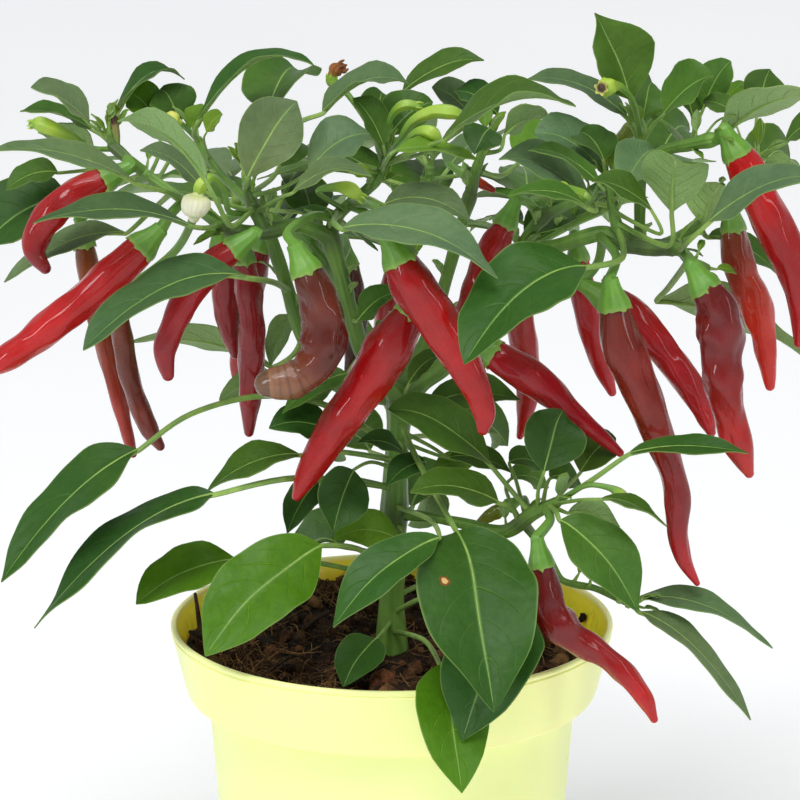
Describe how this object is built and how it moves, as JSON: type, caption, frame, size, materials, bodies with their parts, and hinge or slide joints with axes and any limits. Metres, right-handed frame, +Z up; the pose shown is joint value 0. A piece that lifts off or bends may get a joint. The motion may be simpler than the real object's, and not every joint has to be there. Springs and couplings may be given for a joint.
{
  "type": "potted chilli pepper plant",
  "caption": "Chilli pepper plant with hanging red and brown peppers, in a round pale-yellow plastic nursery pot filled with soil.",
  "frame": {"origin": "centre of the flat base that the pot rests on", "axes": "+Z up the pot's axis, -Y towards the viewer of the picture, +X to the viewer's right"},
  "size_m": [0.239, 0.2233, 0.2981],
  "materials": {
    "pot_plastic": "smooth pale-yellow moulded plastic",
    "soil": "dark coir and peat, crumbly",
    "foliage": "green stems and leaves with pale undersides",
    "pepper_red": "glossy red skin",
    "pepper_brown": "glossy brown skin turning red",
    "pepper_green": "unripe green skin",
    "petal": "soft petals",
    "dry_petal": "dried petals"
  },
  "bodies": {
    "root": {"main_stem": "foliage", "spray_far_left": "foliage", "spray_left": "foliage", "spray_middle_left": "foliage", "spray_middle": "foliage", "spray_middle_right": "foliage", "spray_right": "foliage", "spray_top_right": "foliage", "spray_far_right_top": "foliage", "spray_far_right": "foliage", "spray_far_right_low": "foliage", "low_shoot": "foliage", "spray_back_left": "foliage", "spray_back_middle": "foliage", "spray_back_right": "foliage", "pot": "pot_plastic", "soil": "soil", "pepper_01": "pepper_red", "pepper_02": "pepper_red", "pepper_03": "pepper_red", "pepper_04": "pepper_red", "pepper_05": "pepper_red", "pepper_06": "pepper_red", "pepper_07": "pepper_red", "pepper_08": "pepper_brown", "pepper_09": "pepper_brown", "pepper_10": "pepper_red", "pepper_11": "pepper_red", "pepper_12": "pepper_red", "pepper_13": "pepper_red", "pepper_14": "pepper_brown", "pepper_15": "pepper_red", "pepper_16": "pepper_brown", "pepper_17": "pepper_brown", "pepper_18": "pepper_red", "pepper_19": "pepper_red", "pepper_green_top": "pepper_green", "pepper_green_low": "pepper_green", "pepper_orange_small": "pepper_red", "pepper_20": "pepper_red", "pepper_21": "pepper_red", "pepper_22": "pepper_red", "pepper_23": "pepper_red", "pepper_24": "pepper_red", "white_flower_bud": "petal", "yellow_flower_bud": "petal", "dried_flower": "dry_petal"}
  },
  "joints": []
}
